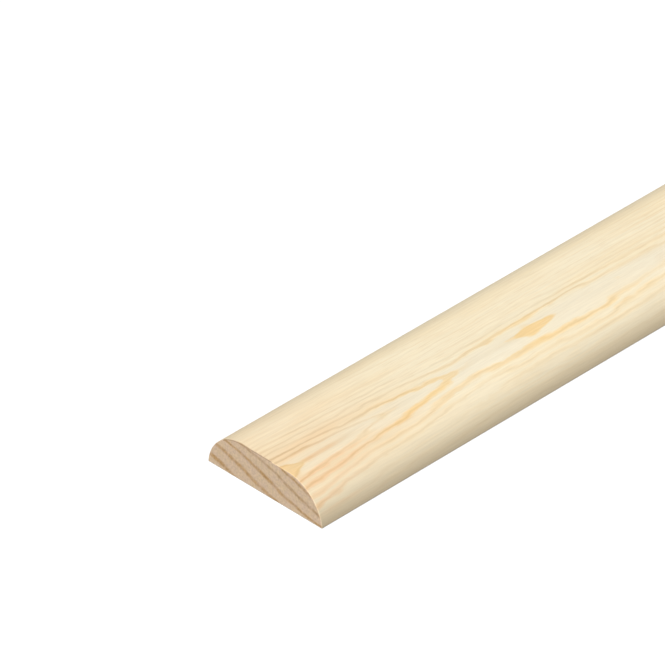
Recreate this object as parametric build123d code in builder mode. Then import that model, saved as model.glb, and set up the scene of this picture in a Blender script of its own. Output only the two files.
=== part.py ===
from build123d import *

import os
from math import sqrt

# A D-shaped softwood moulding: one length of planed trim with a flat back, a flat face and
# two rounded long edges. It lies on its back, with its length along X, its width along Y and
# its face up. The origin is the middle of the back.

# Driving dimensions, in millimetres
LENGTH = 2400.0  # one stock length
WIDTH = 34.0  # across the back, before its corners are eased
THICKNESS = 9.5  # from the back to the face
ROUND_RADIUS = 10.3  # of the cutter that rounds each long edge, from the face down to the back
ARRIS_RADIUS = 0.2  # eases the corners of the back and the edges of the sawn ends

# Each round leaves the flat face smoothly and comes down to a corner of the back. A radius over
# the thickness puts its centre under the back, so the foot of the round leans in a little.
ROUND_REACH = sqrt(THICKNESS * (2 * ROUND_RADIUS - THICKNESS))
HALF_FLAT = WIDTH / 2 - ROUND_REACH

with BuildPart() as moulding:
    with BuildSketch(Plane.YZ.offset(-LENGTH / 2)) as section:
        with BuildLine():
            back = Line((0, 0), (WIDTH / 2, 0))
            face = Line((0, THICKNESS), (HALF_FLAT, THICKNESS))
            TangentArc(face @ 1, back @ 1, tangent=face % 1)
            mirror(about=Plane.YZ)
        make_face()
    extrude(amount=LENGTH)
    # The two seams between the face and its rounds are smooth, and every other edge is a sharp one.
    seams = moulding.edges().filter_by(Axis.X).group_by(Axis.Z)[-1]
    fillet(moulding.edges() - seams, ARRIS_RADIUS)

moulding.part.label = "moulding"
os.makedirs("parts", exist_ok=True)
export_step(moulding.part, "parts/moulding.step")

print("section", round(section.sketch.area, 2), "mm2, flat face", round(2 * HALF_FLAT, 2), "mm wide")
print("volume", round(moulding.part.volume), "mm3,", len(moulding.faces()), "faces")
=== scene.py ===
# %% [markdown]
# # A length of D-shaped pine moulding
#
# The real thing is one stick of softwood, run through a moulding machine that planes its back
# flat and rounds its two long edges, and then sawn square at both ends. It has a single piece and
# no joints, so nearly all that the eye gets from it is wood: growth rings on the sawn end, the
# arched figure that the same rings draw on the face, and fine fibre along the length.
#
# The imported model gives the size and the place of everything. It is loaded first, and its box is
# kept for the camera, the floor and the length of the stick.

import math

import bpy
import numpy as np
from mathutils import Matrix, Vector


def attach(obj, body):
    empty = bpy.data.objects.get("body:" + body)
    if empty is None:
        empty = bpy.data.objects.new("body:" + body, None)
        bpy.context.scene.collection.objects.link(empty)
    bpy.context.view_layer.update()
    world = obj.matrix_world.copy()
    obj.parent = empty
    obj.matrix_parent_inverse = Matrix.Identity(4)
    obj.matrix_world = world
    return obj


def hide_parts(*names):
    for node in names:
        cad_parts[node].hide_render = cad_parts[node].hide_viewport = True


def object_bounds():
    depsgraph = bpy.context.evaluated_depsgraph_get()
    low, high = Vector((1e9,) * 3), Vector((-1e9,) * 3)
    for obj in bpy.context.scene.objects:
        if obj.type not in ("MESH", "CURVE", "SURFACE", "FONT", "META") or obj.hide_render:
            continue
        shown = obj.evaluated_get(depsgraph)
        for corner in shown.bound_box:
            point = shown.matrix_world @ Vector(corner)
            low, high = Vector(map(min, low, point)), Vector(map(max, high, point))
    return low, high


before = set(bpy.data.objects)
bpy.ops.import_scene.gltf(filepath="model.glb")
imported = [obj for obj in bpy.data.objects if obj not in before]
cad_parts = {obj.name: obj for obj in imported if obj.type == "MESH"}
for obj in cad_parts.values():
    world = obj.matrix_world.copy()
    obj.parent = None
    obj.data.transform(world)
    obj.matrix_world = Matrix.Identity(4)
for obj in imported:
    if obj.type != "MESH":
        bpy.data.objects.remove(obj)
cad_low, cad_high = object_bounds()
MM = 0.001  # metres in a millimetre, because Blender works in metres here

print("packed size in mm:", [round(side / MM, 2) for side in cad_high - cad_low])

# %% [markdown]
# ## The camera
#
# A view can be matched by eye, but straight edges give it exactly. The long edges and the end of
# the moulding were fitted with lines, and a camera was worked out that puts the same edges in the
# same places. It looks down at 35 degrees, across a corner, through a very long lens, which is why
# the long edges hardly draw together. The place of the camera is given from one point that is easy
# to find on the object: the middle of the near end's lower edge.

# %% Place the camera
PICTURE_SIDE = 665  # pixels
FOCAL_LENGTH = 7468.4  # pixels
SENSOR = 36.0  # millimetres, Blender's usual sensor
AZIMUTH = math.radians(-44.869)
ELEVATION = math.radians(35.055)
DISTANCE = 1562.6 * MM
AIM_RIGHT = 14.20 * MM  # from the near end's lower edge to the middle of the picture
AIM_UP = 33.95 * MM

towards_camera = Vector((
    math.sin(AZIMUTH) * math.cos(ELEVATION),
    -math.cos(AZIMUTH) * math.cos(ELEVATION),
    math.sin(ELEVATION),
))
picture_right = Vector((math.cos(AZIMUTH), math.sin(AZIMUTH), 0))
picture_up = towards_camera.cross(picture_right)
near_edge_middle = Vector((cad_low.x, 0, cad_low.z))
aim = near_edge_middle + AIM_RIGHT * picture_right + AIM_UP * picture_up

camera_data = bpy.data.cameras.new("camera")
camera_data.sensor_width = SENSOR
camera_data.lens = SENSOR * FOCAL_LENGTH / PICTURE_SIDE
camera = bpy.data.objects.new("camera", camera_data)
turn = Matrix((picture_right, picture_up, towards_camera)).transposed()
camera.matrix_world = Matrix.Translation(aim + DISTANCE * towards_camera) @ turn.to_4x4()
bpy.context.collection.objects.link(camera)
bpy.context.scene.camera = camera

print("lens", round(camera_data.lens, 1), "mm, camera at", [round(v, 4) for v in camera.location])

# %% [markdown]
# ## A helper for nodes and one for colours
#
# Every material below is a tree of nodes. One small function adds a node: it takes the kind of
# node, what goes into its sockets, and its settings. A socket takes a number, a colour, or the output
# of an earlier node, which is then linked. Colours are written as the hex values that a screen shows,
# and Blender wants them in linear light, so one function converts them.

# %% Node and colour helpers
def add(tree, kind, sockets=None, **settings):
    """Adds a node of this kind to the tree, sets its properties, fills its sockets and returns it.
    A socket is given by its number or name, and is linked where its value is a node, which stands
    for the first output in use, or an output of one. A text is a hex colour."""
    node = tree.nodes.new(kind)
    for name, value in settings.items():
        setattr(node, name, value)
    for key, value in (sockets or {}).items():
        used = [s for s in node.inputs if s.enabled]
        socket = node.inputs[key] if isinstance(key, int) else next(s for s in used if s.name == key)
        if isinstance(value, bpy.types.Node):
            value = next(s for s in value.outputs if s.enabled)
        if isinstance(value, bpy.types.NodeSocket):
            tree.links.new(value, socket)
        else:
            socket.default_value = linear(value) if isinstance(value, str) else value
    return node


def linear(hex_colour):
    """A colour such as "#F7E9CB" as linear red, green, blue and alpha: each channel, as a part of
    1, is divided by 12.92 below 0.04045, and otherwise ((c + 0.055) / 1.055) to the power 2.4."""
    c = np.array([int(hex_colour[i:i + 2], 16) for i in (1, 3, 5)]) / 255
    return (*np.where(c <= 0.04045, c / 12.92, ((c + 0.055) / 1.055) ** 2.4), 1.0)


# %% [markdown]
# ## Floor, world and light
#
# The floor and what is behind it are plain white to the camera. To other rays the floor is a
# middling grey, so that it throws little light back up at the steep foot of the round. One sun
# with a wide disc stands for a large soft box: it comes from over the near end, a little to the
# right of it, so the face is bright, the right-hand round fades towards its foot and the sawn end
# is a step darker. A sun is as bright at one end of the stick as at the other, two and a half
# metres away, which a lamp near the camera would not be. A second, weak sun comes in low over the far
# end, so that the sides turned away aren't black. Together with the world they give a level face as
# much light as it takes for a colour to look as it is written.

# %% Floor
FLOOR_HALF = 40.0  # metres, past the edge of any view of the stick
FLOOR_DROP = 0.02 * MM  # just under the back, so that the two faces don't lie in one plane
FLOOR_LIFT = 0.2  # light of the floor's own, which makes it as white as the world behind it

corners = [(x * FLOOR_HALF, y * FLOOR_HALF, cad_low.z - FLOOR_DROP)
           for x, y in ((-1, -1), (1, -1), (1, 1), (-1, 1))]
floor_mesh = bpy.data.meshes.new("floor")
floor_mesh.from_pydata(corners, [], [(0, 1, 2, 3)])
floor = bpy.data.objects.new("floor", floor_mesh)
bpy.context.collection.objects.link(floor)


def seen_itself(tree):
    """1 where the camera sees a thing, straight or in something glossy or clear, and 0 for its light."""
    ray = add(tree, "ShaderNodeLightPath")
    seen = ray.outputs["Is Camera Ray"]
    for name in ("Is Glossy Ray", "Is Transmission Ray"):
        seen = add(tree, "ShaderNodeMath", {0: seen, 1: ray.outputs[name]}, operation="MAXIMUM")
    return seen


floor_paper = bpy.data.materials.new("white backdrop paper")
floor_paper.use_nodes = True
tree = floor_paper.node_tree
tree.nodes.clear()
bounced = add(tree, "ShaderNodeBsdfDiffuse", {"Color": "#3A3A3A"})
white = add(tree, "ShaderNodeBsdfDiffuse", {"Color": "#EFEFEF"})
glow = add(tree, "ShaderNodeEmission", {"Color": "#FFFFFF", "Strength": FLOOR_LIFT})
white = add(tree, "ShaderNodeAddShader", {0: white, 1: glow})
paper = add(tree, "ShaderNodeMixShader", {0: seen_itself(tree), 1: bounced, 2: white})
add(tree, "ShaderNodeOutputMaterial", {"Surface": paper})
floor_mesh.materials.append(floor_paper)

print("floor", 2 * FLOOR_HALF, "m square,", round(FLOOR_DROP / MM, 3), "mm under the back")

# %% World and sun
FILL = 0.07  # of the light on a level face that comes from the world
BACK_LIGHT = 0.35  # on a face turned straight to the second sun
SUNS = {"soft box": Vector((-0.74, -0.37, 1.0)), "back light": Vector((1.0, 0.2, 0.06))}  # from where
SUN_DISC = math.radians(25)

world = bpy.data.worlds.new("studio")
world.use_nodes = True
tree = world.node_tree
tree.nodes.clear()
strength = add(tree, "ShaderNodeMapRange", {"Value": seen_itself(tree), "To Min": FILL, "To Max": 1.0})
sky = add(tree, "ShaderNodeBackground", {"Color": "#FFFFFF", "Strength": strength})
add(tree, "ShaderNodeOutputWorld", {"Surface": sky})
bpy.context.scene.world = world

from_soft_box, from_behind = (direction.normalized() for direction in SUNS.values())
level_share = 1 - FILL - BACK_LIGHT * from_behind.z
sun_strengths = (level_share / from_soft_box.z, BACK_LIGHT)
for name, direction, sun_strength in zip(SUNS, (from_soft_box, from_behind), sun_strengths):
    sun_data = bpy.data.lights.new(name, "SUN")
    sun_data.energy = math.pi * sun_strength
    sun_data.angle = SUN_DISC
    sun = bpy.data.objects.new(name, sun_data)
    sun.rotation_mode = "QUATERNION"
    sun.rotation_quaternion = (-direction).to_track_quat("-Z", "Y")
    bpy.context.collection.objects.link(sun)
bpy.context.scene.view_settings.view_transform = "Standard"

print("a level face gets", round(level_share, 3), "of its light from the soft box")

# %% [markdown]
# ## The section
#
# The moulding machine's cutters give the section: a flat back, a flat face, and on each side a
# round that leaves the face smoothly and comes down to a corner of the back. The sharp corners are
# eased by a fifth of a millimetre. A section like this could be drawn as a curve and bevelled, but
# worked out as arrays it also gives the exact direction of the surface at every point, which makes
# the shading of the rounds smooth, and the distance round the section, on which the wood's figure
# is drawn later.

# %% Work out the section
WIDTH = 34.0  # millimetres from here to the end of the section, as in the part's source
THICKNESS = 9.5
ROUND_RADIUS = 10.3
ARRIS_RADIUS = 0.2
ROUND_STEPS = 36
ARRIS_STEPS = 6
FACE_STEPS = 28
BACK_STEPS = 20

round_middle_z = THICKNESS - ROUND_RADIUS
half_flat = WIDTH / 2 - math.sqrt(ROUND_RADIUS ** 2 - round_middle_z ** 2)
# The arris's middle is its radius above the back, and a round's radius less its own from the round's.
arris_y = half_flat + math.sqrt((ROUND_RADIUS - ARRIS_RADIUS) ** 2
                                - (ARRIS_RADIUS - round_middle_z) ** 2)
round_turn = math.atan2(arris_y - half_flat, ARRIS_RADIUS - round_middle_z)


def arc(middle_y, middle_z, radius, start, end, steps):
    """Points and outward directions on an arc of the section: the middle plus the radius times
    (sin a, cos a), with the angle a from straight up, positive towards +Y. The last is left off."""
    a = np.linspace(start, end, steps, endpoint=False)
    outward = np.stack([np.sin(a), np.cos(a)], axis=1)
    return np.array([middle_y, middle_z]) + radius * outward, outward


def flat(start, end, height, direction, steps):
    """Points and outward directions on a level run of the section. The last is left off."""
    y = np.linspace(start, end, steps, endpoint=False)
    return np.stack([y, np.full(steps, height)], axis=1), np.tile([0.0, direction], (steps, 1))


runs = [
    arc(half_flat, round_middle_z, ROUND_RADIUS, round_turn, 0, ROUND_STEPS),
    flat(half_flat, -half_flat, THICKNESS, 1.0, FACE_STEPS),
    arc(-half_flat, round_middle_z, ROUND_RADIUS, 0, -round_turn, ROUND_STEPS),
    arc(-arris_y, ARRIS_RADIUS, ARRIS_RADIUS, -round_turn, -math.pi, ARRIS_STEPS),
    flat(-arris_y, arris_y, 0.0, -1.0, BACK_STEPS),
    arc(arris_y, ARRIS_RADIUS, ARRIS_RADIUS, math.pi, round_turn, ARRIS_STEPS),
]
section = np.concatenate([points for points, _ in runs])
outward = np.concatenate([directions for _, directions in runs])
stretches = np.linalg.norm(np.roll(section, -1, axis=0) - section, axis=1)
half_top = half_flat + ROUND_RADIUS * round_turn
# The distance round the section falls from the left foot over the face to the right foot, where it
# is measured from the middle of the face, and goes on falling along the back.
round_distance = half_top - np.concatenate([[0], np.cumsum(stretches)])
back_points = np.repeat([0.0, 1.0, 0.0],
                        [2 * ROUND_STEPS + FACE_STEPS + ARRIS_STEPS, BACK_STEPS + 1, ARRIS_STEPS - 1])

print(len(section), "points round the section,", round(stretches.sum(), 2), "mm round it")

# %% [markdown]
# ## The stick
#
# The section is carried along the length. At each end it turns the corner in five steps that draw
# the section in and move it out, which eases the edge that the saw left, and one flat face closes
# the end. For something straight a few rings of points would do. Near the first end they stand
# closer, because a number is kept at each point there that bends the lines of the wood.

# %% Carry the section along the length
END_ARRIS = 0.18  # a little under the corner's own radius, so that no face shrinks to nothing
END_STEPS = 5
NEAR_PART = 100.0
NEAR_SPACING = 1.5
RING_SPACING = 20.0
FRINGE = 0.2  # millimetres beside the eased edge, over which the end's darker colour fades onto the face on the left

half_length = cad_high.x / MM
length = 2 * half_length
ease = np.linspace(math.pi / 2, 0, END_STEPS, endpoint=False)
end_along = END_ARRIS * (1 - np.sin(ease))
end_inset = END_ARRIS * (1 - np.cos(ease))
straight = np.concatenate([
    [END_ARRIS],
    np.arange(END_ARRIS + FRINGE, NEAR_PART, NEAR_SPACING),
    np.linspace(NEAR_PART, length - END_ARRIS - FRINGE, round((length - NEAR_PART) / RING_SPACING) + 1),
    [length - END_ARRIS],
])
along = np.concatenate([end_along, straight, length - end_along[::-1]])
ring_inset = np.concatenate([end_inset, np.zeros(len(straight)), end_inset[::-1]])
ring_lean = np.concatenate([-ease, np.zeros(len(straight)), ease[::-1]])

grid = np.empty((len(along), len(section), 3))
grid[..., 0] = (along - half_length)[:, None]
grid[..., 1:] = section[None] - ring_inset[:, None, None] * outward[None]
leaning = np.empty_like(grid)
leaning[..., 0] = np.sin(ring_lean)[:, None]
leaning[..., 1:] = np.cos(ring_lean)[:, None, None] * outward[None]

rings, around = grid.shape[:2]
number = np.arange(rings * around).reshape(rings, around)
beside = np.roll(number, -1, axis=1)
quads = np.stack([number[:-1], beside[:-1], beside[1:], number[1:]], axis=-1).reshape(-1, 4)

print(rings, "rings,", len(quads), "faces along the stick")

# %% [markdown]
# The mesh takes the points and faces as they are. Faces have to point outwards, so a quad goes
# round the section first and then along the stick. Each point also gets the exact direction of the
# surface there, so that the rounds shade smoothly and the flats stay flat up to their edges.

# %% Put the stick into a mesh
near_end_face = number[0][::-1]
far_end_face = number[-1]
faces = quads.tolist() + [near_end_face.tolist(), far_end_face.tolist()]
mesh = bpy.data.meshes.new("planed_moulding")
mesh.from_pydata((grid * MM).reshape(-1, 3).tolist(), [], faces)
mesh.polygons.foreach_set("use_smooth", np.ones(len(faces), bool))
mesh.normals_split_custom_set_from_vertices(leaning.reshape(-1, 3).tolist())
moulding = bpy.data.objects.new("planed_moulding", mesh)
bpy.context.collection.objects.link(moulding)
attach(moulding, "root")
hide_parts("moulding")

middles = np.empty(len(faces) * 3)
facing = np.empty(len(faces) * 3)
mesh.polygons.foreach_get("center", middles)
mesh.polygons.foreach_get("normal", facing)
from_axis = middles.reshape(-1, 3) - np.array([0, 0, THICKNESS / 2 * MM])
outwards = (from_axis * facing.reshape(-1, 3)).sum(1) > 0
print(len(mesh.vertices), "points,", len(faces), "faces,", int((~outwards).sum()), "of them turned in")

# %% [markdown]
# ## What the wood needs to know
#
# The figure on the face follows the surface, so it is drawn on the section laid flat: a UV map
# named laid_flat, whose numbers are millimetres along the stick and millimetres round the section.
# More numbers at each point say where the sawn ends are and where the back is, because there
# the rings are cut another way. On the right of the near end the rounded eased edge catches the light,
# and its outer part also takes the pale colour of the planed face, a painted highlight. On the left it
# shows end grain, with a dark band painted along it, painted shade for the side turned from the light.

# %% Lay the section flat and mark the ends and the back
BRIGHT_EDGE = -2.0  # millimetres round the section: right of it the end's eased edge has the pale face colour, a painted highlight
SAWN_STEPS = 3  # of the steps round the end's edge that still show end grain there
UNSHADED_FOOT = 9.0  # millimetres from the left foot that the painted shade on the end's edge leaves out


def quad_corners(before, after, across):
    """Places on a map of the four corners of every quad: along, where each length begins and ends, and
    across, from one place round the section to the next."""
    places = np.empty((rings - 1, around, 4, 2))
    places[..., 0] = np.stack([before, before, after, after], axis=-1)[:, None]
    places[..., 1] = np.stack([across[:-1], across[1:], across[1:], across[:-1]], axis=-1)[None]
    return places


def keep_at_points(numbers):
    """Keeps numbers at the points of the mesh under their names, as attributes that nodes can read."""
    for name, values in numbers.items():
        values = values.astype(np.float32).ravel()
        mesh.attributes.new(name, "FLOAT", "POINT").data.foreach_set("value", values)


flat_quads = quad_corners(along[:-1], along[1:], round_distance)
flat_near = np.stack([np.full(around, along[0]), round_distance[:-1][::-1]], axis=-1)
flat_far = np.stack([np.full(around, along[-1]), round_distance[:-1]], axis=-1)
flat_map = np.concatenate([flat_quads.reshape(-1, 2), flat_near, flat_far])
mesh.uv_layers.new(name="laid_flat").uv.foreach_set("vector", flat_map.astype(np.float32).ravel())

# right of BRIGHT_EDGE the outer part of the end's eased edge takes the face colour, a painted highlight
# beside the light that the rounded edge catches
shows_end = np.where(round_distance[:-1] > BRIGHT_EDGE, END_STEPS + 1, SAWN_STEPS)
from_end = np.minimum(np.arange(rings), np.arange(rings)[::-1])
sawn = from_end[:, None] < shows_end[None]
# painted shade: the left part of the near end's eased edge, turned from the light, is marked to be painted
# dark
shade_side = (round_distance[:-1] > BRIGHT_EDGE) & (round_distance[:-1] < half_top - UNSHADED_FOOT)
painted_edge_shade = ((from_end >= 1) & (from_end < END_STEPS))[:, None] & shade_side[None]
on_back = np.tile(back_points, (rings, 1))
marks = {"sawn_end": sawn, "flat_back": on_back, "painted_edge_shade": painted_edge_shade}
keep_at_points(marks)

print(int(sawn.sum()), "points are marked as sawn and", int(on_back.sum()), "as back")

# %% [markdown]
# ## A map named OFBake
#
# Programs that can't run Blender's nodes take a model's colours from a square picture, painted onto it
# through a UV map named OFBake. Blender's own unwrapping would
# shrink a stick that is seventy times as long as it is wide until it fits across the square, and
# the grain would blur. Cut into three lengths that lie one above the other, with the two ends
# below them, the stick fills the square instead. The near part, where the figure is finest, gets four
# times as many dots along as the rest.

# %% Lay the stick out in three lengths
MAP_SIDE = 1024  # dots along a side of the picture
MAP_EDGE = 4  # dots left free beside each stretch
STRIPS = 3
END_DOTS = 12.4  # dots to a millimetre of a sawn end
FACE_ROWS, BACK_ROWS = 226, 68  # rows of dots for the face with both rounds, and for the back
STRIP_ROWS = FACE_ROWS + BACK_ROWS + MAP_EDGE
LEAST_STEP = 0.8  # millimetres, so that the narrow faces of the eased edge still get a dot each
NEAR_TIMES = 4.0

steps = np.diff(along) * np.where(along[1:] <= NEAR_PART, NEAR_TIMES, 1.0)
stretched = np.concatenate([[0], np.cumsum(np.maximum(steps, LEAST_STEP))])
breaks = np.searchsorted(stretched, stretched[-1] * np.arange(1, STRIPS) / STRIPS)
breaks = np.concatenate([[0], breaks, [rings - 1]])
strip = np.searchsorted(breaks, np.arange(rings - 1), side="right") - 1
long_dots = (MAP_SIDE - 2 * MAP_EDGE) / np.diff(stretched[breaks]).max()
strip_start = stretched[breaks][strip]
dots_before = MAP_EDGE + (stretched[:-1] - strip_start) * long_dots
dots_after = MAP_EDGE + (stretched[1:] - strip_start) * long_dots
gone_round = round_distance[0] - round_distance
rows = np.interp(gone_round, [0, 2 * half_top, gone_round[-1]], [0, FACE_ROWS, FACE_ROWS + BACK_ROWS])
first_row = 3 * MAP_EDGE + THICKNESS * END_DOTS + strip * STRIP_ROWS

map_quads = quad_corners(dots_before, dots_after, rows)
map_quads[..., 1] += first_row[:, None, None]
map_near = MAP_EDGE + (grid[0, ::-1, 1:] + [WIDTH / 2, 0]) * END_DOTS
map_far = MAP_EDGE + (grid[-1, :, 1:] + [WIDTH / 2, 0]) * END_DOTS
map_far[:, 0] += WIDTH * END_DOTS + 3 * MAP_EDGE
bake_map = np.concatenate([map_quads.reshape(-1, 2), map_near, map_far]) / MAP_SIDE
mesh.uv_layers.new(name="OFBake").uv.foreach_set("vector", bake_map.astype(np.float32).ravel())

print("strips of", np.diff(along[breaks]).round(), "mm, map from", bake_map.min().round(3),
      "to", bake_map.max().round(3))

# %% [markdown]
# ## The arches on the face
#
# A trunk is never quite straight, so a straight stick sawn from it dips in and out of the yearly
# rings. On the face each ring then draws an arch, one inside the other, all pointing along one line,
# the crest. Noise alone gives lines like these, but not the long arch, the filled eye and the lines
# between them where this stick has them. So each line is given by a few points, and a smooth field
# is passed through them: how many rings are cut so far, which is a whole number on every line. A
# line is also stronger in one place than in another, and it has two parts, a soft golden band and a
# thin brown core, so each side of it gets a few strengths for both.

# %% The lines and their strengths
CREST = -6.56  # millimetres round the section from the middle of the face, minus to the right
RING_LINES = {  # rings cut: (millimetres along, millimetres round) of points where so many are cut
    -0.38: [(0, -6.7)],
    -0.22: [(2.4, -6.6)],
    0.02: [(0, -4.6), (1.6, -5.2), (3.1, -5.95), (4.9, -6.65), (3.1, -7.5), (1.6, -8.25), (0, -9.1)],
    0.35: [(9, -6.6), (15, -6.6)],
    0.7: [(22, -6.6)],
    0.85: [(26, -6.55)],
    1: [(0, -3.0), (6, -3.4), (12.5, -3.9), (17, -4.2), (22, -5.0), (27, -5.9), (29.3, -6.5),
        (27, -7.2), (20.6, -8.5), (15.6, -9.2), (7.5, -9.75), (1, -10.5)],
    1.12: [(31.5, -6.5)],
    1.6: [(39, -6.6)],
    1.72: [(44, -6.7), (72.5, -6.6)],
    1.8: [(76.5, -6.6)],
    1.9: [(47.5, -6.7)],
    2: [(0, -1.4), (6, -1.7), (12.5, -2.1), (17, -2.5), (21, -3.3), (26, -3.3), (30, -3.4), (35, -3.9),
        (40, -4.8), (44, -5.3), (48, -6.0), (50.8, -6.6), (48, -7.4), (44, -8.2), (38.8, -8.7),
        (34, -9.7), (27.5, -10.35), (21, -10.5), (15.6, -11.3), (6, -12.2), (0, -12.6)],
    2.08: [(67.1, -6.65), (69, -5.85), (70.8, -5.0), (72.7, -4.5), (74.6, -5.05), (76.2, -5.65),
           (79, -5.8), (81.3, -6.5), (79.4, -7.3), (77.3, -7.7), (75, -8.15), (72.6, -8.8),
           (70.7, -8.35), (68.9, -7.4)],
    2.12: [(52.5, -6.6)],
    2.3: [(56, -6.6), (62, -6.6), (87, -6.6), (94, -6.6)],
    2.5: [(66, -4.6), (66, -8.7), (72.5, -3.8), (72.5, -9.7), (78, -4.1), (78, -9.3), (84, -4.5),
          (84, -8.9), (91, -4.5), (91, -8.8)],
    3: [(0, 0.4), (9, -0.25), (14, -0.9), (19, -1.1), (27, -1.4), (34, -1.5), (40, -2.1), (45, -2.8),
        (50, -3.5), (53, -3.5), (60, -3.1), (69, -2.8), (80, -2.6), (90, -2.5), (0, -14.8), (6, -14.3),
        (15.6, -13.0), (21, -12.7), (27.5, -12.7), (35, -12.3), (40, -11.5), (44, -10.8), (48, -10.4),
        (54, -10.0), (59, -10.5), (66, -10.75), (80, -11.0), (90, -11.1)],
    4: [(0, 1.7), (9, 1.2), (19, 0.3), (31, 0.3), (38, -0.4), (44, -1.2), (53, -1.6), (60, -1.4),
        (70, -1.0), (80, -0.9), (0, -17.1), (4, -16.5), (9, -15.8), (14, -15.1), (22, -14.6), (31, -14.5),
        (37.5, -14), (40.6, -13.4), (45, -12.9), (50, -12.5), (55, -12.1), (60, -12.6), (66, -13.1),
        (80, -13.4), (90, -13.6)],
    5: [(46, 0.9), (56, 0.5), (66, 0.8), (78, 0.9), (0, -19.4), (20, -17.7), (40, -16.9), (52, -16.6),
        (64, -16.7), (78, -16.9)],
}
# By rings cut and side of the crest: (millimetres along, strength of the golden band, and of the core)
LINE_STRENGTHS = {
    (1, "left"): [(0, 0.0, 0.42), (6, 0.1, 0.5), (10, 0.08, 0.44), (14, 0.3, 0.35), (18, 0.14, 0.14),
                  (26, 0.0, 0.35), (30, 0.3, 0.06)],
    (1, "right"): [(0, 0.2, 0.42), (6, 0.6, 0.18), (10, 0.6, 0.22), (14, 0.6, 0.27), (18, 0.22, 0.06),
                   (26, 0.2, 0.32)],
    (2, "left"): [(0, 0.0, 0.58), (10, 0.06, 0.48), (14, 0.08, 0.38), (18, 0.0, 0.34), (22, 0.1, 0.48),
                  (26, 0.2, 0.38), (34, 0.52, 0.4), (38, 0.7, 0.2), (48, 0.6, 0.2)],
    (2, "right"): [(0, 0.5, 0.4), (6, 0.52, 0.05), (10, 0.64, 0.28), (14, 0.56, 0.5), (18, 0.3, 0.05),
                   (22, 0.3, 0.34), (26, 0.5, 0.31), (30, 0.8, 0.17), (40, 0.98, 0.05), (46, 0.7, 0.12),
                   (51, 0.4, 0.16)],
    (3, "left"): [(0, 0.04, 0.2), (10, 0.0, 0.07), (18, 0.0, 0.12), (26, 0.0, 0.31), (34, 0.0, 0.23),
                  (46, 0.05, 0.25), (50, 0.25, 0.2), (54, 0.42, 0.13), (62, 0.36, 0.36), (70, 0.5, 0.25),
                  (78, 0.32, 0.33)],
    (3, "right"): [(0, 0.36, 0.06), (6, 0.3, 0.02), (10, 0.17, 0.08), (18, 0.24, 0.1), (26, 0.29, 0.28),
                   (34, 0.1, 0.16), (42, 0.55, 0.13), (50, 0.35, 0.18), (54, 0.5, 0.12), (78, 0.58, 0.2)],
    (4, "left"): [(0, 0.1, 0.19), (6, 0.04, 0.28), (14, 0.0, 0.2), (34, 0.0, 0.23), (42, 0.0, 0.13),
                  (54, 0.0, 0.17), (62, 0.0, 0.26), (78, 0.0, 0.17)],
    (4, "right"): [(0, 0.65, 0.15), (6, 0.55, 0.12), (10, 0.24, 0.2), (22, 0.08, 0.12), (30, 0.24, 0.07),
                   (38, 0.1, 0.2), (54, 0.16, 0.12), (62, 0.14, 0.15), (78, 0.26, 0.15)],
    (5, "left"): [(46, 0.0, 0.02), (78, 0.0, 0.02)],
    (5, "right"): [(0, 0.05, 0.04), (40, 0.05, 0.04), (52, 0.1, 0.02), (78, 0.1, 0.02)],
}
CREST_STRENGTHS = [(0, 0.62, 0.25), (5, 0.75, 0.15), (9, 0.2, 0.1), (24, 0.0, 0.0), (29, 0.5, 0.0),
                   (40, 0.3, 0.0), (49, 0.85, 0.0), (52, 0.5, 0.12), (62, 0.05, 0.05), (67, 0.5, 0.05),
                   (70, 0.85, 0.06), (79, 0.85, 0.06), (83, 0.2, 0.0)]


def strengths_of(ring, x, s):
    """The two strengths of a line at one of its points: straight between those given along it."""
    side = "left" if s > CREST else "right"
    given_along, golden, brown = np.transpose(LINE_STRENGTHS.get((ring, side), CREST_STRENGTHS))
    return np.interp(x, given_along, golden), np.interp(x, given_along, brown)


line_points = np.array([(ring, x, s, *strengths_of(ring, x, s))
                        for ring, line in RING_LINES.items() for x, s in line])
line_ring, line_along, line_round, line_golden, line_brown = line_points.T

print(len(line_points), "points on", len(RING_LINES), "lines")

# %% [markdown]
# The field has two parts. The first is a plain arch that a formula gives, the same all along. The
# second is what has to be added to it so that the lines run through their points: a sum of soft
# bumps, one at each point, whose heights come from a set of equations, one for each point. The
# sums are worked out at the points of the mesh and kept there as attributes, which the nodes read.

# %% The field through the lines
LEFT_SPACING = 1.75  # millimetres between lines well to the left of the crest, and to the right
RIGHT_SPACING = 2.06
BLUNT = 1.2  # how round the arches are at the crest, in rings
CLOSER_FROM = 6.0  # millimetres left of the crest, from where the lines crowd
CLOSER = 0.22  # rings more for each millimetre there
CLIMB = (-12.0, 66.0)  # millimetres along between which the stick climbs through the rings
CLIMB_RINGS = (-0.4, 2.1)
BUMP_LONG, BUMP_WIDE = 6.0, 1.2  # millimetres, the reach of a soft bump along and round
BUMP_EASE = 0.02  # lets the field miss a point a little, so that it stays smooth


def rings_across(left_of_crest):
    """Rings cut between the crest and a place beside it, for an arch that is the same all along:
    the root of (distance / spacing) squared plus BLUNT squared, less BLUNT, which is a hyperbola,
    and a little more where the lines crowd."""
    spacing = np.where(left_of_crest > 0, LEFT_SPACING, RIGHT_SPACING)
    arch = np.sqrt((left_of_crest / spacing) ** 2 + BLUNT ** 2) - BLUNT
    return arch + CLOSER * np.maximum(0, left_of_crest - CLOSER_FROM)


def rings_along(x):
    """Rings climbed by a distance along: t * t * (3 - 2 t) between the two values of CLIMB_RINGS,
    where t goes from 0 to 1 between the two distances of CLIMB."""
    t = np.clip((x - CLIMB[0]) / (CLIMB[1] - CLIMB[0]), 0, 1)
    return CLIMB_RINGS[0] + (CLIMB_RINGS[1] - CLIMB_RINGS[0]) * t * t * (3 - 2 * t)


def closeness(x, s):
    """How near places are to the points of the lines: e to the power of minus (distance along /
    reach) squared minus (distance round / reach) squared, with one column for each point."""
    return np.exp(-((x[..., None] - line_along) / BUMP_LONG) ** 2
                  - ((s[..., None] - line_round) / BUMP_WIDE) ** 2)


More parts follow.
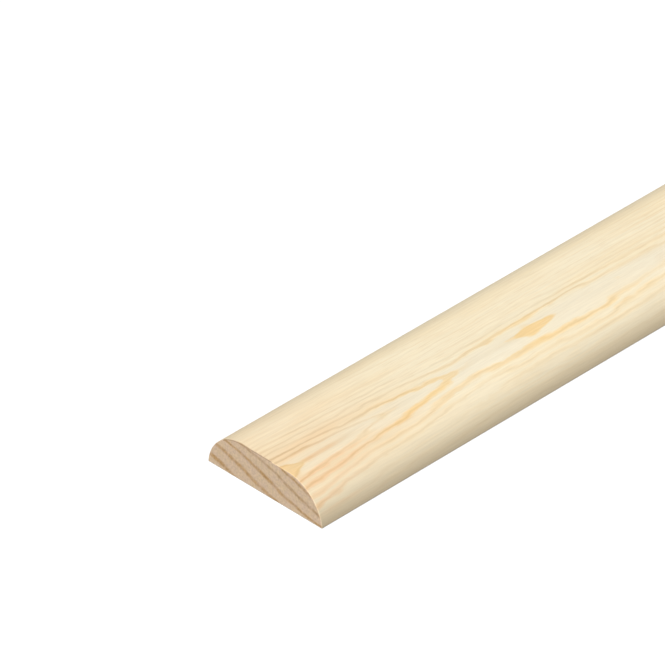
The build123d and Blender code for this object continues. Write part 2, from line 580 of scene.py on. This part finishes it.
missing = line_ring - rings_across(line_round - CREST) - rings_along(line_along)
between_points = closeness(line_along, line_round)
heights = np.linalg.solve(between_points + BUMP_EASE * np.eye(len(missing)), missing)
left_over = np.abs(missing - between_points @ heights).max()

print("the field misses its points by", round(float(left_over), 3), "of a ring at most")

# %% [markdown]
# Four numbers are kept at each point. The first is the lift, the second part of the field. The next
# is how far apart whole rings are on the surface there, from the slope of the field: with it a line
# can be drawn so many millimetres wide, however steeply the ring is cut. The last two are the
# strengths, the means of the lines' own strengths weighed by how near they are, with a plain
# strength where no line is near.

# %% Keep the field at the points of the mesh
PLAIN_GOLDEN = (0.06, 0.55)  # strengths where no line is given, in the near part and past it
PLAIN_BROWN = (0.1, 0.3)
PLAIN_WEIGHT = 0.02
FADE_FROM, FADE_TO = 4.0, 16.0  # millimetres from the crest over which plain lines get fainter
FADED = 0.45
LEAST_SPREAD, MOST_SPREAD = 1.5, 5.5  # millimetres to a ring

place_along, place_round = np.meshgrid(along, round_distance[:-1], indexing="ij")
near_lines = closeness(place_along, place_round)
lift = rings_along(place_along) + near_lines @ heights
cut = rings_across(place_round - CREST) + lift
steepness = np.hypot(np.gradient(cut, along, axis=0), np.gradient(cut, round_distance[:-1], axis=1))
spread = 1 / np.clip(steepness, 1 / MOST_SPREAD, 1 / LEAST_SPREAD)
fade = np.interp(np.abs(place_round - CREST), [FADE_FROM, FADE_TO], [1, FADED])
kept = {"ring_lift": lift, "ring_spread": spread}
for name, given, plain in (("ring_golden", line_golden, PLAIN_GOLDEN),
                           ("ring_brown", line_brown, PLAIN_BROWN)):
    plain = np.interp(place_along, [NEAR_PART, 2 * NEAR_PART], plain) * fade
    kept[name] = (near_lines @ given + PLAIN_WEIGHT * plain) / (near_lines.sum(axis=-1) + PLAIN_WEIGHT)
keep_at_points(kept)

print({name: (values.min().round(2), values.max().round(2)) for name, values in kept.items()})

# %% [markdown]
# ## Planed pine
#
# A pine lays down a ring each year: wide pale wood in spring that darkens into a narrow orange band
# in late summer, and then starts again. Freshly planed and unfinished, that gives the eye matt cream
# wood with golden lines, soft towards the middle of the tree and sharper away from it. The material
# is one tree of nodes, built a step at a time. It begins with what the mesh can tell it: the place on
# the laid-out surface, the place in space, and the numbers kept at the points. Four small functions
# then make what is needed again and again: a noise of a given size, a slow drift along the stick, a
# share that is held within limits, and colours laid over one another.

# %% Start the material
pine = bpy.data.materials.new("planed pine")
pine.use_nodes = True
wood = pine.node_tree
wood.nodes.clear()
mesh.materials.append(pine)

laid = add(wood, "ShaderNodeUVMap", uv_map="laid_flat")
laid_parts = add(wood, "ShaderNodeSeparateXYZ", {0: laid})
along_mm, round_mm = laid_parts.outputs["X"], laid_parts.outputs["Y"]
place = add(wood, "ShaderNodeTexCoord").outputs["Object"]
place = add(wood, "ShaderNodeVectorMath", {0: place, "Scale": 1 / MM}, operation="SCALE")
at_point = {name: add(wood, "ShaderNodeAttribute", attribute_name=name).outputs["Fac"]
            for name in (*marks, *kept)}


def pattern(where, sizes, detail, part=(0.0, 1.0), to=(0.0, 1.0), ease="LINEAR", rough=0.5, dims="3D"):
    """Noise of about these sizes along each axis, in two dimensions on the laid-out surface and in
    three in space. Detail and rough are how many finer noises it holds and how strong they are. The
    part of it between two values is spread over the values given by to, straight or eased."""
    scaled = add(wood, "ShaderNodeMapping", {"Vector": where, "Scale": [1 / size for size in sizes]})
    noise = add(wood, "ShaderNodeTexNoise", {"Vector": scaled, "Scale": 1.0, "Detail": detail,
                                             "Roughness": rough}, noise_dimensions=dims)
    return add(wood, "ShaderNodeMapRange",
               {"Value": noise.outputs[0], "From Min": part[0], "From Max": part[1],
                "To Min": to[0], "To Max": to[1]}, interpolation_type=ease)


def drift(long, reach, detail):
    """A drift to and fro along the stick, up to the reach to each side: noise that turns about once in
    so many millimetres."""
    turns = add(wood, "ShaderNodeMath", {0: along_mm, 1: 1 / long}, operation="MULTIPLY")
    noise = add(wood, "ShaderNodeTexNoise", {"W": turns, "Scale": 1.0, "Detail": detail},
                noise_dimensions="1D")
    return add(wood, "ShaderNodeMapRange", {"Value": noise.outputs[0], "To Min": -reach, "To Max": reach})


def held_within(share, *limits, least=0.0, ease="SMOOTHSTEP"):
    """A share that is held within limits: each has a value and the two places between which the share
    goes from the least part of it to all of it."""
    for value, (out, full) in limits:
        inside = add(wood, "ShaderNodeMapRange", {"Value": value, "From Min": out, "From Max": full,
                                                  "To Min": least}, interpolation_type=ease)
        share = add(wood, "ShaderNodeMath", {0: share, 1: inside}, operation="MULTIPLY")
    return share


def layered(colour, layers, blend="MIX"):
    """A colour with others laid over it, or multiplied in, in turn. Each has a share and a colour."""
    for share, tone in layers:
        colour = add(wood, "ShaderNodeMix", {"Factor": share, "A": colour, "B": tone},
                     data_type="RGBA", blend_type=blend)
    return colour


print("the nodes read", ", ".join(at_point))

# %% [markdown]
# First comes the plain arch, the same formula as above. Past the near part nothing is given, so there
# the crest wanders slowly from side to side.

# %% The plain arch
WANDER_LONG, WANDER = 420.0, 9.0  # millimetres along between turns, and to each side
WANDERS_BY = 5 * NEAR_PART

past_near = add(wood, "ShaderNodeMapRange",
                {"Value": along_mm, "From Min": NEAR_PART, "From Max": WANDERS_BY})
wander = drift(WANDER_LONG, WANDER, detail=1.0)
crest = add(wood, "ShaderNodeMath", {0: wander, 1: past_near, 2: CREST}, operation="MULTIPLY_ADD")
from_crest = add(wood, "ShaderNodeMath", {0: round_mm, 1: crest}, operation="SUBTRACT")
beside_crest = add(wood, "ShaderNodeMath", {0: from_crest}, operation="ABSOLUTE")

# A line that is steeper on one side: half the sum of the two steepnesses times the distance, plus
# half their difference times its size.
steeper = (1 / LEFT_SPACING - 1 / RIGHT_SPACING) / 2
steep = (1 / LEFT_SPACING + 1 / RIGHT_SPACING) / 2
scaled = add(wood, "ShaderNodeMath", {0: beside_crest, 1: steeper}, operation="MULTIPLY")
scaled = add(wood, "ShaderNodeMath", {0: from_crest, 1: steep, 2: scaled}, operation="MULTIPLY_ADD")
arch = add(wood, "ShaderNodeMath", {0: scaled, 1: scaled, 2: BLUNT ** 2}, operation="MULTIPLY_ADD")
arch = add(wood, "ShaderNodeMath", {0: arch}, operation="SQRT")
arch = add(wood, "ShaderNodeMath", {0: arch, 1: BLUNT}, operation="SUBTRACT")
crowd = add(wood, "ShaderNodeMath", {0: from_crest, 1: CLOSER_FROM}, operation="SUBTRACT")
crowd = add(wood, "ShaderNodeMath", {0: crowd, 1: 0.0}, operation="MAXIMUM")
arch = add(wood, "ShaderNodeMath", {0: crowd, 1: CLOSER, 2: arch}, operation="MULTIPLY_ADD")

print("the arch and what comes before it take", len(wood.nodes), "nodes")

# %% [markdown]
# On the crest there are two eyes, places where a ring is only grazed, and between them an arch whose
# tip is filled in like one. A curve says where they are along the stick.

# %% Where the eyes are
CURVE_LONG = 90.0  # millimetres along that the curves below stand for
EYES = [(0, 1.0), (4, 1.0), (6.5, 0.0), (46, 0.0), (48.5, 0.5), (51, 0.5), (53, 0.0), (66, 0.0),
        (68.5, 1.0), (82.5, 1.0), (86, 0.0), (90, 0.0)]
EYE_INNER, EYE_OUTER = 2.4, 3.6  # millimetres beside the crest, between which an eye's reach ends

on_curve = add(wood, "ShaderNodeMapRange", {"Value": along_mm, "From Max": CURVE_LONG})


def along_curve(spots):
    """A value that changes along the stick: straight lines between spots, each a distance along in
    millimetres and a value, on a curve node whose input runs from 0 to 1 over CURVE_LONG."""
    node = add(wood, "ShaderNodeFloatCurve", {"Value": on_curve})
    points = node.mapping.curves[0].points
    points[0].location = (0, spots[0][1])
    points[1].location = (1, spots[-1][1])
    for x, value in spots[1:-1]:
        points.new(x / CURVE_LONG, value)
    for point in points:
        point.handle_type = "VECTOR"
    node.mapping.update()
    return node


by_eye = held_within(along_curve(EYES), (beside_crest, (EYE_OUTER, EYE_INNER)))

print("eyes, in mm along:", [spot for spot, share in EYES if share == 1.0])

# %% [markdown]
# The lift is added to the arch. Past the near part the stick goes on climbing through the rings, by
# a ring in 45 mm, and swells in and out as it goes, which gives new arches all along its length. A
# little noise makes every line waver as a drawn one would, but not the eyes, which are smooth.

# %% Rings cut
CLIMB_LONG = 45.0  # millimetres to a ring past the near part
SWELL_LONG, SWELL = 55.0, 1.6  # millimetres, and rings in and out
WAVE_SIZES, WAVE = (6.0, 2.2, 1), 0.32  # millimetres along and round, and rings to each side
EYE_WAVE = 0.25  # of it in an eye

beyond = add(wood, "ShaderNodeMath", {0: along_mm, 1: NEAR_PART}, operation="SUBTRACT")
beyond = add(wood, "ShaderNodeMath", {0: beyond, 1: 0.0}, operation="MAXIMUM")
climb = add(wood, "ShaderNodeMath", {0: beyond, 1: 1 / CLIMB_LONG, 2: at_point["ring_lift"]},
            operation="MULTIPLY_ADD")
swell = drift(SWELL_LONG, SWELL, detail=2.0)
climb = add(wood, "ShaderNodeMath", {0: swell, 1: past_near, 2: climb}, operation="MULTIPLY_ADD")
wave = pattern(laid, WAVE_SIZES, detail=4.0, to=(-WAVE, WAVE), dims="2D")
calm = add(wood, "ShaderNodeMapRange", {"Value": by_eye, "To Min": 1.0, "To Max": EYE_WAVE})
climb = add(wood, "ShaderNodeMath", {0: wave, 1: calm, 2: climb}, operation="MULTIPLY_ADD")
rings_cut = add(wood, "ShaderNodeMath", {0: arch, 1: climb}, operation="ADD")

print("about", round((length - NEAR_PART) / CLIMB_LONG), "more rings come to the face along the stick")

# %% [markdown]
# Late wood lies along the whole numbers of rings. The distance from the nearest one, in rings, times
# the millimetres to a ring, is how far the line is on the surface. Around the line the wood is golden
# for a millimetre to each side, and along its middle runs a thin brown core. In the eyes, both on an
# even ring, gold fills everything inside the line. Each line takes its strengths from the mesh.

# %% Late wood
GOLD_FAINT, GOLD_STRONG = 0.7, 1.3  # millimetres from a faint line, and a strong one, where its gold ends
GOLD_FULL = 0.2
BROWN_RIGHT, BROWN_LEFT = 0.4, 0.48  # where its core ends, on each side of the crest
BROWN_FULL = 0.03
EYE_ENDS, EYE_FULL = 0.55, 0.02  # for gold around an eye
EYE_FILL = 4.0  # millimetres further in that gold goes there
LEFT_FROM, LEFT_BY = -0.5, 2.0  # millimetres left of the crest, between which left takes over from right


def nearest_ring(count):
    """The whole number nearest to a count of rings, which is the floor of the count and a half, and how
    far the count is past it, which is what that leaves over, less a half."""
    half_on = add(wood, "ShaderNodeMath", {0: count, 1: 0.5}, operation="ADD")
    whole = add(wood, "ShaderNodeMath", {0: half_on}, operation="FLOOR")
    over = add(wood, "ShaderNodeMath", {0: half_on}, operation="FRACT")
    return whole, add(wood, "ShaderNodeMath", {0: over, 1: 0.5}, operation="SUBTRACT")


ring_number, from_line = nearest_ring(rings_cut)
from_line = add(wood, "ShaderNodeMath", {0: from_line, 1: at_point["ring_spread"]}, operation="MULTIPLY")
odd = add(wood, "ShaderNodeMath", {0: ring_number, 1: 1.0}, operation="PINGPONG")
even = add(wood, "ShaderNodeMath", {0: 1.0, 1: odd}, operation="SUBTRACT")
in_eye = add(wood, "ShaderNodeMath", {0: by_eye, 1: even}, operation="MULTIPLY")

filled = add(wood, "ShaderNodeMath", {0: in_eye, 1: -EYE_FILL}, operation="MULTIPLY")
inside = add(wood, "ShaderNodeMath", {0: from_line, 1: -1.0, 2: filled}, operation="MULTIPLY_ADD")
from_gold = add(wood, "ShaderNodeMath", {0: from_line, 1: inside}, operation="MAXIMUM")
gold_ends = add(wood, "ShaderNodeMapRange",
                {"Value": at_point["ring_golden"], "To Min": GOLD_FAINT, "To Max": GOLD_STRONG})
gold_ends = add(wood, "ShaderNodeMapRange", {"Value": in_eye, "To Min": gold_ends, "To Max": EYE_ENDS})
gold_full = add(wood, "ShaderNodeMapRange", {"Value": in_eye, "To Min": GOLD_FULL, "To Max": EYE_FULL})
golden = held_within(at_point["ring_golden"], (from_gold, (gold_ends, gold_full)))
from_core = add(wood, "ShaderNodeMath", {0: from_line}, operation="ABSOLUTE")
left_side = held_within(1.0, (from_crest, (LEFT_FROM, LEFT_BY)))
brown_ends = add(wood, "ShaderNodeMapRange",
                 {"Value": left_side, "To Min": BROWN_RIGHT, "To Max": BROWN_LEFT})
brown = held_within(at_point["ring_brown"], (from_core, (brown_ends, BROWN_FULL)))

print("a strong line is gold for", GOLD_STRONG, "mm to each side, with a core of", BROWN_RIGHT, "mm")

# %% [markdown]
# No two years are alike, so past the near part each ring also gets a strength of its own, from its
# number, and everywhere a line comes and goes a little in patches, its core more than its gold. Along
# the crest the top of a ring, only just touched, leaves a thread of late wood behind an eye, and two
# more curves say how strong it is.

# %% How strongly the lines show
YEAR_STEP = 0.42  # of the way to and fro that one year goes
YEAR_SWING = 0.5  # the length of that way to one side
YEAR_FAINT = 0.5
PATCH_SIZES, PATCH_PART = (14.0, 2.5, 1), (0.3, 0.6)  # millimetres, and the part of its noise
PATCH_GOLDEN, PATCH_BROWN = (1.12, 1.38), (1.05, 1.45)  # least and most
GOLDEN_THREAD = [(0, 0.0), (3, 0.3), (5, 0.82), (7, 0.72), (9, 0.56), (13, 0.52), (15, 0.2), (18, 0.0),
                 (25, 0.0), (28.5, 0.45), (30.5, 0.2), (32, 0.0), (50, 0.0), (52, 0.25), (54, 0.12),
                 (56, 0.03), (65, 0.03), (67, 0.1), (68.5, 0.2), (70, 0.0), (90, 0.0)]
BROWN_THREAD = [(0, 0.0), (4, 0.1), (7, 0.2), (16, 0.22), (19, 0.12), (24, 0.0), (31, 0.05), (36, 0.1),
                (42, 0.0), (50, 0.0), (52, 0.1), (66, 0.1), (70, 0.0), (90, 0.0)]
THREAD_GONE, THREAD_FULL = 1.0, 0.15  # millimetres beside the crest

year = add(wood, "ShaderNodeMath", {0: ring_number, 1: YEAR_STEP}, operation="MULTIPLY")
year = add(wood, "ShaderNodeMath", {0: year, 1: YEAR_SWING}, operation="PINGPONG")
year = add(wood, "ShaderNodeMapRange",
           {"Value": year, "From Max": YEAR_SWING, "To Min": 1.0, "To Max": YEAR_FAINT})
year = add(wood, "ShaderNodeMapRange", {"Value": along_mm, "From Min": NEAR_PART, "From Max": 2 * NEAR_PART,
                                        "To Min": 1.0, "To Max": year})
patch = pattern(laid, PATCH_SIZES, detail=3.0, part=PATCH_PART, dims="2D")


def shown(part, patches, thread_spots):
    """How strongly one part of the lines shows: what it is so far, times the year's strength and the
    patch's, or the thread on the crest where that is stronger."""
    spotty = add(wood, "ShaderNodeMapRange", {"Value": patch, "To Min": patches[0], "To Max": patches[1]})
    for factor in (year, spotty):
        part = add(wood, "ShaderNodeMath", {0: part, 1: factor}, operation="MULTIPLY", use_clamp=True)
    thread = held_within(along_curve(thread_spots), (beside_crest, (THREAD_GONE, THREAD_FULL)))
    return add(wood, "ShaderNodeMath", {0: part, 1: thread}, operation="MAXIMUM")


golden = shown(golden, PATCH_GOLDEN, GOLDEN_THREAD)
brown = shown(brown, PATCH_BROWN, BROWN_THREAD)
late = add(wood, "ShaderNodeMath", {0: golden, 1: brown}, operation="MAXIMUM")

print("years differ in strength from", YEAR_FAINT, "to 1")

# %% [markdown]
# Between the rings the spring wood has faint lines of its own, fine fibre, and short dark dashes where
# the plane has cut along a resin canal. Canals are a tenth of a millimetre wide and fibres far finer,
# too fine to show in a picture, so both are drawn a few times coarser than they are.

# %% Faint lines, fibre and resin canals
FAINT_SIZES, FAINT_PART = (26.0, 0.42, 1), (0.45, 0.75)  # millimetres along, rings, and its noise's part
FIBRE_SIZES, FIBRE_PART, FIBRE_ROUGH = (9.0, 0.4, 1), (0.25, 0.75), 0.6  # millimetres from here on
CANAL_SIZES, CANAL_PART = (5.0, 0.26, 1), (0.58, 0.74)

across_rings = add(wood, "ShaderNodeCombineXYZ", {"X": along_mm, "Y": rings_cut})
faint = pattern(across_rings, FAINT_SIZES, detail=2.0, part=FAINT_PART, ease="SMOOTHSTEP", dims="2D")
fibre = pattern(laid, FIBRE_SIZES, detail=3.0, part=FIBRE_PART, rough=FIBRE_ROUGH, dims="2D")
canal = pattern(laid, CANAL_SIZES, detail=1.0, part=CANAL_PART, ease="SMOOTHSTEP", dims="2D")

print("fibre", FIBRE_SIZES[1], "mm wide and canals", CANAL_SIZES[1], "mm, both coarser than real ones")

# %% [markdown]
# Now the colours. Spring wood is a cream that drifts between two tints. At the near end, where the saw
# has warmed the wood and its resin has come up, the wood is peach at the very edge and between the
# strong lines, and less and less so over the next 60 mm. Along the crest, where the first wood of a year
# is cut, the cream is cooler. The left-hand round is a warmer cream. The right-hand round is painted
# paler, a painted highlight, and towards its foot darker and warmer, painted shade.

# %% Where the spring wood is cool or peach
CREST_SHARE = 0.4  # of the cooler cream
CREST_TOP, CREST_FOOT = (3.5, 1.5), (-5.5, -3.0)  # millimetres to the left of the crest
EDGE_PEACH, EDGE_PEACH_LONG = 0.6, 8.5  # share, and millimetres from the end
EDGE_PEACH_TOP, EDGE_PEACH_FOOT = (4.0, 2.0), (-18.0, -16.0)  # millimetres round, past which there is none
LINE_PEACH_RIGHT, LINE_PEACH_LEFT = 62.0, 48.0  # millimetres from the end where it begins, on each side
LINE_PEACH_FULL = 4.0
LINE_PEACH_TOP, LINE_PEACH_FOOT = (8.8, 4.5), (-12.0, -7.5)  # millimetres to the left of the crest
LINE_PEACH_IN = (1.6, 3.4)  # millimetres to either side of the crest
LINE_PEACH_LEAST = 0.5  # of it past the first two, and on the crest itself
PEACH_PATCH = 0.7  # of it where a patch is palest

cool = held_within(CREST_SHARE, (from_crest, CREST_TOP), (from_crest, CREST_FOOT))
plain = add(wood, "ShaderNodeMath", {0: 1.0, 1: golden}, operation="SUBTRACT")
cool = add(wood, "ShaderNodeMath", {0: cool, 1: plain}, operation="MULTIPLY")
edge_peach = held_within(EDGE_PEACH, (along_mm, (EDGE_PEACH_LONG, 0.0)))
edge_peach = held_within(edge_peach, (round_mm, EDGE_PEACH_TOP), (round_mm, EDGE_PEACH_FOOT), ease="LINEAR")
peach_begins = add(wood, "ShaderNodeMapRange", {"Value": left_side, "To Min": LINE_PEACH_RIGHT,
                                                "To Max": LINE_PEACH_LEFT})
line_peach = held_within(1.0, (along_mm, (peach_begins, LINE_PEACH_FULL)))
line_peach = held_within(line_peach, (from_crest, LINE_PEACH_TOP), (from_crest, LINE_PEACH_FOOT),
                         (beside_crest, LINE_PEACH_IN), least=LINE_PEACH_LEAST)
line_peach = held_within(line_peach, (patch, (0.0, 1.0)), least=PEACH_PATCH)
peach = add(wood, "ShaderNodeMath", {0: edge_peach, 1: line_peach}, operation="MAXIMUM")

print("peach within", EDGE_PEACH_LONG, "mm of the near end, and between lines to", LINE_PEACH_RIGHT, "mm")

# %% [markdown]
# Each of these is a share of its own colour, laid over the cream one after another. The colours of a
# line are stains instead, which the wood is multiplied by: its band is golden, or more orange where
# resin has come up near the end, and its core is a dull brown.

# %% Colours of the face
MOST_NOISE = (0.3, 0.7)  # the part of a noise that holds nearly all of it
TINT_SIZES = (30.0, 6.0, 1)  # millimetres
FAINT_SHARE, CANAL_SHARE = 0.4, 0.2
# painted light and shade on the rounds: the paler right-hand round is a painted highlight and its darker,
# warmer foot is painted shade; the left-hand round only gets a warmer cream
ROUND_LIGHT_SHADE_AND_TINT = [  # (millimetres round from where, and to where it is full), share and colour
    # painted highlight: paler from here down the right-hand round
    ((-11.0, -14.5), 0.6, "#FEEFCF"),
    # a warmer cream on the left-hand round
    ((5.0, 9.5), 0.3, "#FBE9C4"),
    # painted shade: darker and warmer towards the right-hand foot
    ((-16.5, -20.6), 0.33, "#E3C99E"),
]
RESIN_ENDS, RESIN_FULL = 27.0, 12.0  # millimetres from the near end, within which resin makes gold orange
FIBRE_DARK, FIBRE_PALE = 0.95, 1.03

tint = pattern(laid, TINT_SIZES, detail=2.0, part=MOST_NOISE, dims="2D")
faint_share = add(wood, "ShaderNodeMath", {0: faint, 1: FAINT_SHARE}, operation="MULTIPLY")
canal_share = add(wood, "ShaderNodeMath", {0: canal, 1: CANAL_SHARE}, operation="MULTIPLY")
peach_colour = layered("#F1D8B2", [(left_side, "#F5D8AF")])
# the paler right-hand round and its darker foot among these are painted light and shade
round_light_shade_and_tint = [(held_within(most, (round_mm, reach)), tone) for reach, most, tone in ROUND_LIGHT_SHADE_AND_TINT]
spring_colour = layered("#F8ECCF", [(tint, "#F8E8C6"), (faint_share, "#EFD9B2"), (canal_share, "#DEC196"),
                                    (cool, "#EFE7D3"), (peach, peach_colour), *round_light_shade_and_tint])

no_eye = add(wood, "ShaderNodeMath", {0: 1.0, 1: by_eye}, operation="SUBTRACT")
resin = held_within(no_eye, (along_mm, (RESIN_ENDS, RESIN_FULL)))
golden_stain = layered("#FFEDCC", [(resin, "#FFE6CF")])
streak = add(wood, "ShaderNodeMapRange", {"Value": fibre, "To Min": FIBRE_DARK, "To Max": FIBRE_PALE})
face_colour = layered(spring_colour, [(golden, golden_stain), (brown, "#DACFBB"), (1.0, streak)], "MULTIPLY")

print("face colours from", len(wood.nodes), "nodes so far")

# %% [markdown]
# ## The sawn ends
#
# A saw cuts straight across the fibres, so an end shows the rings as they lie in the tree: slanting
# bands about 3 mm apart, soft and orange-brown, on wood that is darker and pinker than the face,
# because light sinks into the open pores. The bands come from a polynomial in the place across and
# up, in centimetres, that is a whole number along each of the five bands on the near end. It
# is also used on the back, which the saw and the plane cut flat, and it slowly drifts along the
# stick, so that the far end isn't the same as the near one.

# %% Rings on the sawn ends
END_RINGS = [[0.705, 3.204, -2.119, 2.023], [-0.802, -0.780, 0.702], [-0.028, 0.201], [0.038]]
CENTIMETRE = 10.0  # millimetres
DRIFT_LONG = 310.0  # millimetres along to a ring
BEND_SIZES, BEND = (60.0, 5.0, 5.0), 0.2  # millimetres, and rings to each side
BAND_EDGE, BAND_FULL = 0.24, 0.02  # rings from the middle of a band
GREY_RING = 3  # the one whose summer was poor
SAME_RING = 0.5  # rings, nearer than which a number is taken for that one

bend = pattern(place, BEND_SIZES, detail=4.0, to=(-BEND, BEND))
centimetres = add(wood, "ShaderNodeVectorMath", {0: place, "Scale": 1 / CENTIMETRE}, operation="SCALE")
place_parts = add(wood, "ShaderNodeSeparateXYZ", {0: centimetres})
across, up = place_parts.outputs["Y"], place_parts.outputs["Z"]

# From the highest power down: what there is so far, times the place, plus the next number.
count = 0.0
for row in reversed(END_RINGS):
    in_up = 0.0
    for value in reversed(row):
        in_up = add(wood, "ShaderNodeMath", {0: in_up, 1: up, 2: value}, operation="MULTIPLY_ADD")
    count = add(wood, "ShaderNodeMath", {0: count, 1: across, 2: in_up}, operation="MULTIPLY_ADD")
count = add(wood, "ShaderNodeMath", {0: along_mm, 1: 1 / DRIFT_LONG, 2: count}, operation="MULTIPLY_ADD")
count = add(wood, "ShaderNodeMath", {0: count, 1: bend}, operation="ADD")
band_number, band = nearest_ring(count)
band = add(wood, "ShaderNodeMath", {0: band}, operation="ABSOLUTE")
band = held_within(1.0, (band, (BAND_EDGE, BAND_FULL)))
grey = add(wood, "ShaderNodeMath", {0: band_number, 1: GREY_RING, 2: SAME_RING}, operation="COMPARE")

print("bands on the end from a polynomial of", sum(len(row) for row in END_RINGS), "numbers")

# %% [markdown]
# Torn fibres give the end a speckle half a millimetre across, and a mottle a few times larger lets the
# bands come and go. The saw's teeth leave faint slanting scratches.

# %% Colours of the sawn ends and the back
SPECK_SIZE = 0.55  # millimetres
MOTTLE_SIZE, MOTTLE_PART = 1.8, (0.35, 0.65)
SCRATCH_SIZES = (math.inf, 8.0, 0.45)  # millimetres, the same however deep the cut
SCRATCH_SLANT = math.radians(68)
BAND_LEAST = 0.55  # of a band's colour where the mottle hides it most
GREY_SHARE = 0.6
SPECK_DARK, SPECK_PALE = 0.89, 1.085
SCRATCH_DARK, SCRATCH_PALE = 0.97, 1.02
EDGE_SHADE_SHARE = 0.6

speck = pattern(place, [SPECK_SIZE] * 3, detail=2.0, part=MOST_NOISE)
mottle = pattern(place, [MOTTLE_SIZE] * 3, detail=2.0, part=MOTTLE_PART)
slanting = add(wood, "ShaderNodeVectorRotate", {"Vector": place, "Angle": SCRATCH_SLANT},
               rotation_type="X_AXIS")
scratch = pattern(slanting, SCRATCH_SIZES, detail=2.0, part=MOST_NOISE)

band_show = add(wood, "ShaderNodeMapRange", {"Value": mottle, "To Min": BAND_LEAST, "To Max": 1.0})
band_mark = add(wood, "ShaderNodeMath", {0: band, 1: band_show}, operation="MULTIPLY")
grey = add(wood, "ShaderNodeMath", {0: grey, 1: GREY_SHARE}, operation="MULTIPLY")
end_pale = layered("#E9CDB1", [(mottle, "#EBCFAB")])
end_band = layered("#C39967", [(speck, "#D1A977"), (grey, "#CBAE8D")])
speckle = add(wood, "ShaderNodeMapRange", {"Value": speck, "To Min": SPECK_DARK, "To Max": SPECK_PALE})
scratches = add(wood, "ShaderNodeMapRange",
                {"Value": scratch, "To Min": SCRATCH_DARK, "To Max": SCRATCH_PALE})
# painted shade: a dark band along the left part of the end's eased edge
edge_shade = add(wood, "ShaderNodeMath", {0: at_point["painted_edge_shade"], 1: EDGE_SHADE_SHARE}, operation="MULTIPLY")
end_colour = layered(end_pale, [(band_mark, end_band)])
end_colour = layered(end_colour, [(1.0, speckle), (1.0, scratches)], "MULTIPLY")
end_colour = layered(end_colour, [(edge_shade, "#86694A")])
back_colour = layered(spring_colour, [(band, golden_stain), (1.0, streak)], "MULTIPLY")

print("speckle", SPECK_SIZE, "mm, scratches", SCRATCH_SIZES[2], "mm wide")

# %% [markdown]
# ## Relief, gloss and the finished shader
#
# A plane leaves softwood rough by a few thousandths of a millimetre, with the hard late wood standing
# a little proud, and a saw leaves the end several times rougher. That is too small to model, so
# a bump node tilts the light on it, from heights in millimetres. The plane also burnishes late
# wood, which makes it a touch glossier than the spring wood, and the open end is nearly matt.
# Bare wood reflects as its cell walls do, at an index of 1.5, but its pores swallow most of the
# mirror-like part, so the specular level is low.

# %% Relief
FIBRE_RELIEF, LATE_RELIEF = 0.007, 0.01  # millimetres
SPECK_RELIEF, SCRATCH_RELIEF = 0.008, 0.008

is_end, is_back = at_point["sawn_end"], at_point["flat_back"]
late_here = add(wood, "ShaderNodeMix", {"Factor": is_back, "A": late, "B": band})
planed = add(wood, "ShaderNodeMath", {0: fibre, 1: FIBRE_RELIEF}, operation="MULTIPLY")
planed = add(wood, "ShaderNodeMath", {0: late_here, 1: LATE_RELIEF, 2: planed}, operation="MULTIPLY_ADD")
torn = add(wood, "ShaderNodeMath", {0: speck, 1: SPECK_RELIEF}, operation="MULTIPLY")
torn = add(wood, "ShaderNodeMath", {0: scratch, 1: SCRATCH_RELIEF, 2: torn}, operation="MULTIPLY_ADD")
relief = add(wood, "ShaderNodeMix", {"Factor": is_end, "A": planed, "B": torn})
bump = add(wood, "ShaderNodeBump", {"Strength": 1.0, "Distance": MM, "Height": relief})

print("relief of", FIBRE_RELIEF + LATE_RELIEF, "mm on the face and",
      SPECK_RELIEF + SCRATCH_RELIEF, "mm on the ends")

# %% Gloss and shader
SPRING_ROUGH, LATE_ROUGH, END_ROUGH = 0.66, 0.54, 0.85
PINE_IOR, PINE_SPECULAR = 1.5, 0.2

rough = add(wood, "ShaderNodeMapRange", {"Value": late_here, "To Min": SPRING_ROUGH, "To Max": LATE_ROUGH})
rough = add(wood, "ShaderNodeMapRange", {"Value": is_end, "To Min": rough, "To Max": END_ROUGH})
colour = layered(face_colour, [(is_back, back_colour), (is_end, end_colour)])
shader = add(wood, "ShaderNodeBsdfPrincipled",
             {"Base Color": colour, "Roughness": rough, "IOR": PINE_IOR,
              "Specular IOR Level": PINE_SPECULAR, "Normal": bump})
add(wood, "ShaderNodeOutputMaterial", {"Surface": shader})

print("planed pine has", len(wood.nodes), "nodes")
